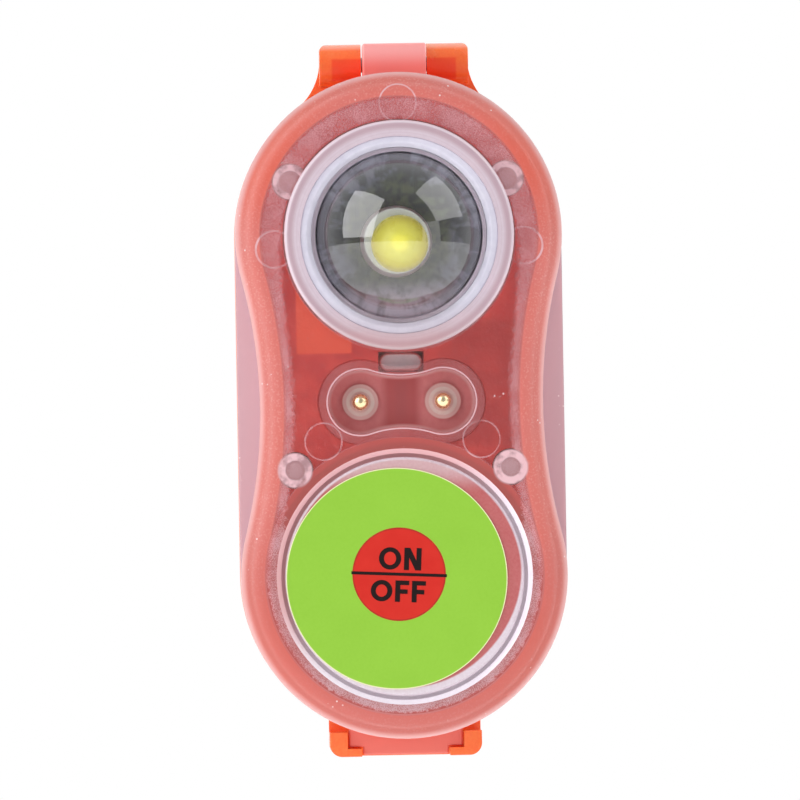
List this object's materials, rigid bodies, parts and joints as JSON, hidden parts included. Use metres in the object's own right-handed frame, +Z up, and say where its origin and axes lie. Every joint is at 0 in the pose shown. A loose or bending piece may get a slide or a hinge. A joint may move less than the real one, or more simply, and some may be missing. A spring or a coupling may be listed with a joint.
{
  "type": "personal LED safety light",
  "caption": "Sealed two-lobed LED safety light with a clear signal dome, water contacts, a large push button and a hinged webbing clip.",
  "frame": {"origin": "middle of the flat back face of the housing, where it presses on the webbing or fabric", "axes": "+Z up along the housing towards the lens, -Y out of the front face, +X to the right seen from the front"},
  "size_m": [0.0344, 0.0335, 0.0757],
  "materials": {
    "frosted_cover": "satin",
    "frosted_base": "satin",
    "red_liner": "satin",
    "orange_clip": "satin",
    "clear_lens": "polished",
    "pale_retainer": "satin",
    "seal_rubber": "matte",
    "soft_seal": "matte",
    "circuit_board": "satin",
    "led_white": "satin",
    "led_phosphor": "satin",
    "chip_black": "matte",
    "silver_can": "satin",
    "capacitor_tan": "satin",
    "cell_steel": "brushed",
    "carrier_plastic": "matte",
    "nickel_strip": "brushed",
    "foam": "matte",
    "gold_pin": "polished",
    "screw_steel": "brushed",
    "button_plastic": "satin",
    "label_green": "satin",
    "label_red": "satin",
    "switch_plastic": "matte",
    "plunger_plastic": "satin"
  },
  "bodies": {
    "housing": {"front_cover": "frosted_cover", "rear_cover": "frosted_base", "body_gasket": "seal_rubber", "inner_chassis": "red_liner", "lens_dome": "clear_lens", "lens_seal": "soft_seal", "lens_retainer": "pale_retainer", "circuit_board": "circuit_board", "led_base": "led_white", "led_phosphor_cap": "led_phosphor", "driver_chip": "chip_black", "sense_chip": "chip_black", "resonator_can": "silver_can", "chip_resistors": "chip_black", "storage_capacitor": "capacitor_tan", "coin_cells": "cell_steel", "cell_carrier": "carrier_plastic", "cell_link_strap": "nickel_strip", "cell_tabs": "nickel_strip", "cell_pad": "foam", "contact_pins": "gold_pin", "contact_seals": "seal_rubber", "board_screws": "screw_steel", "button_stop": "seal_rubber", "switch_body": "switch_plastic", "hinge_pin": "screw_steel"},
    "button": {"button_cap": "button_plastic", "button_seal": "seal_rubber", "button_label": "label_green", "button_centre": "label_red"},
    "switch_plunger": {"switch_plunger": "plunger_plastic"},
    "clip": {"clip_plate": "orange_clip"}
  },
  "joints": [
    {"name": "button_press", "type": "slide", "parent": "housing", "child": "button", "axis": [0, 1, 0], "range_m": [0, 0.0005], "stiffness_N_per_m": 4000},
    {"name": "plunger_press", "type": "slide", "parent": "housing", "child": "switch_plunger", "axis": [0, 1, 0], "range_m": [0, 0.0005]},
    {"name": "clip_hinge", "type": "hinge", "parent": "housing", "child": "clip", "pos_m": [0, 0.0028, 0.03625], "axis": [1, 0, 0], "range_deg": [0, 110]}
  ],
  "couplings": [
    {"joint": "plunger_press", "follows": "button_press", "ratio": 1}
  ]
}
